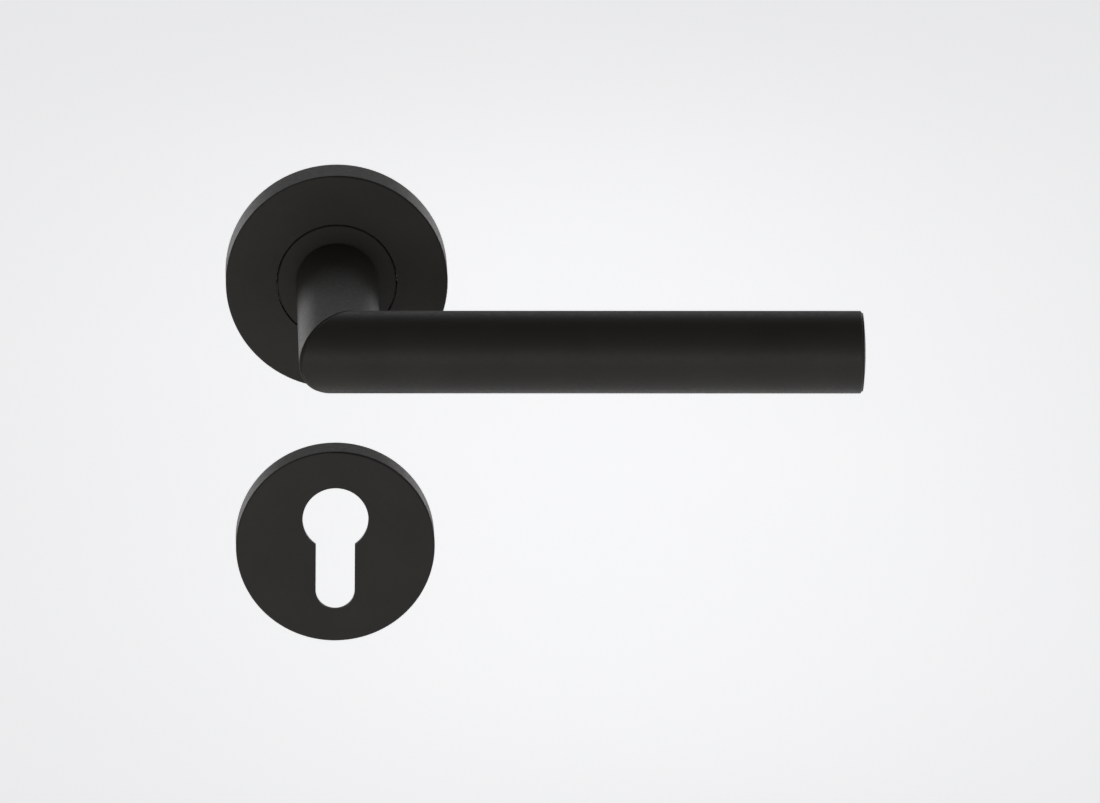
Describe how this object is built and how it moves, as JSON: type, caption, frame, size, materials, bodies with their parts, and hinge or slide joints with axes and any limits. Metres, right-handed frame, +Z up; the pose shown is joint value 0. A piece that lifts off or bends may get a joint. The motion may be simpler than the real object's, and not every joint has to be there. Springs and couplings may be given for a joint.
{
  "type": "lever handle lockset",
  "caption": "Matt black door lever on a round rose, a mitred round tube with a sprung return, and a separate round escutcheon with a euro-profile keyhole.",
  "frame": {"origin": "the spindle's axis where it meets the door's outer face", "axes": "+Z up, +X along the grip from the spindle to its tip, +Y into the door along the spindle"},
  "size_m": [0.1635, 0.1414, 0.1279],
  "materials": {
    "black_coat": "matt black powder coat",
    "turned_steel": "turned steel",
    "dark_screw": "black oxide",
    "zinc_steel": "zinc plated",
    "zinc_cast": "plain die-cast zinc",
    "nylon": "natural nylon",
    "spring_steel": "oiled spring steel"
  },
  "bodies": {
    "fixed": {"rose_cover": "black_coat", "rose_base": "zinc_cast", "bearing_bush": "nylon", "stop_pins": "turned_steel", "rose_grip_ring": "spring_steel", "rose_bolts": "zinc_steel", "rose_sleeves": "zinc_steel", "escutcheon_cover": "black_coat", "escutcheon_base": "zinc_cast", "escutcheon_grip_ring": "spring_steel", "escutcheon_bolts": "zinc_steel", "escutcheon_sleeves": "zinc_steel"},
    "lever": {"neck_collar": "black_coat", "neck_tube": "black_coat", "grip_tube": "black_coat", "end_cap": "black_coat", "neck_shank": "turned_steel", "grub_screw": "dark_screw", "spindle": "zinc_steel", "return_cam": "turned_steel", "return_spring": "spring_steel", "thrust_washer": "spring_steel", "circlip": "spring_steel"}
  },
  "joints": [
    {"name": "lever_turn", "type": "hinge", "parent": "fixed", "child": "lever", "pos_m": [0, 0, 0], "axis": [0, 1, 0], "range_deg": [0, 45], "stiffness_Nm_per_rad": 0.6, "springref_deg": -40.11, "deforming": ["return_spring"]}
  ]
}
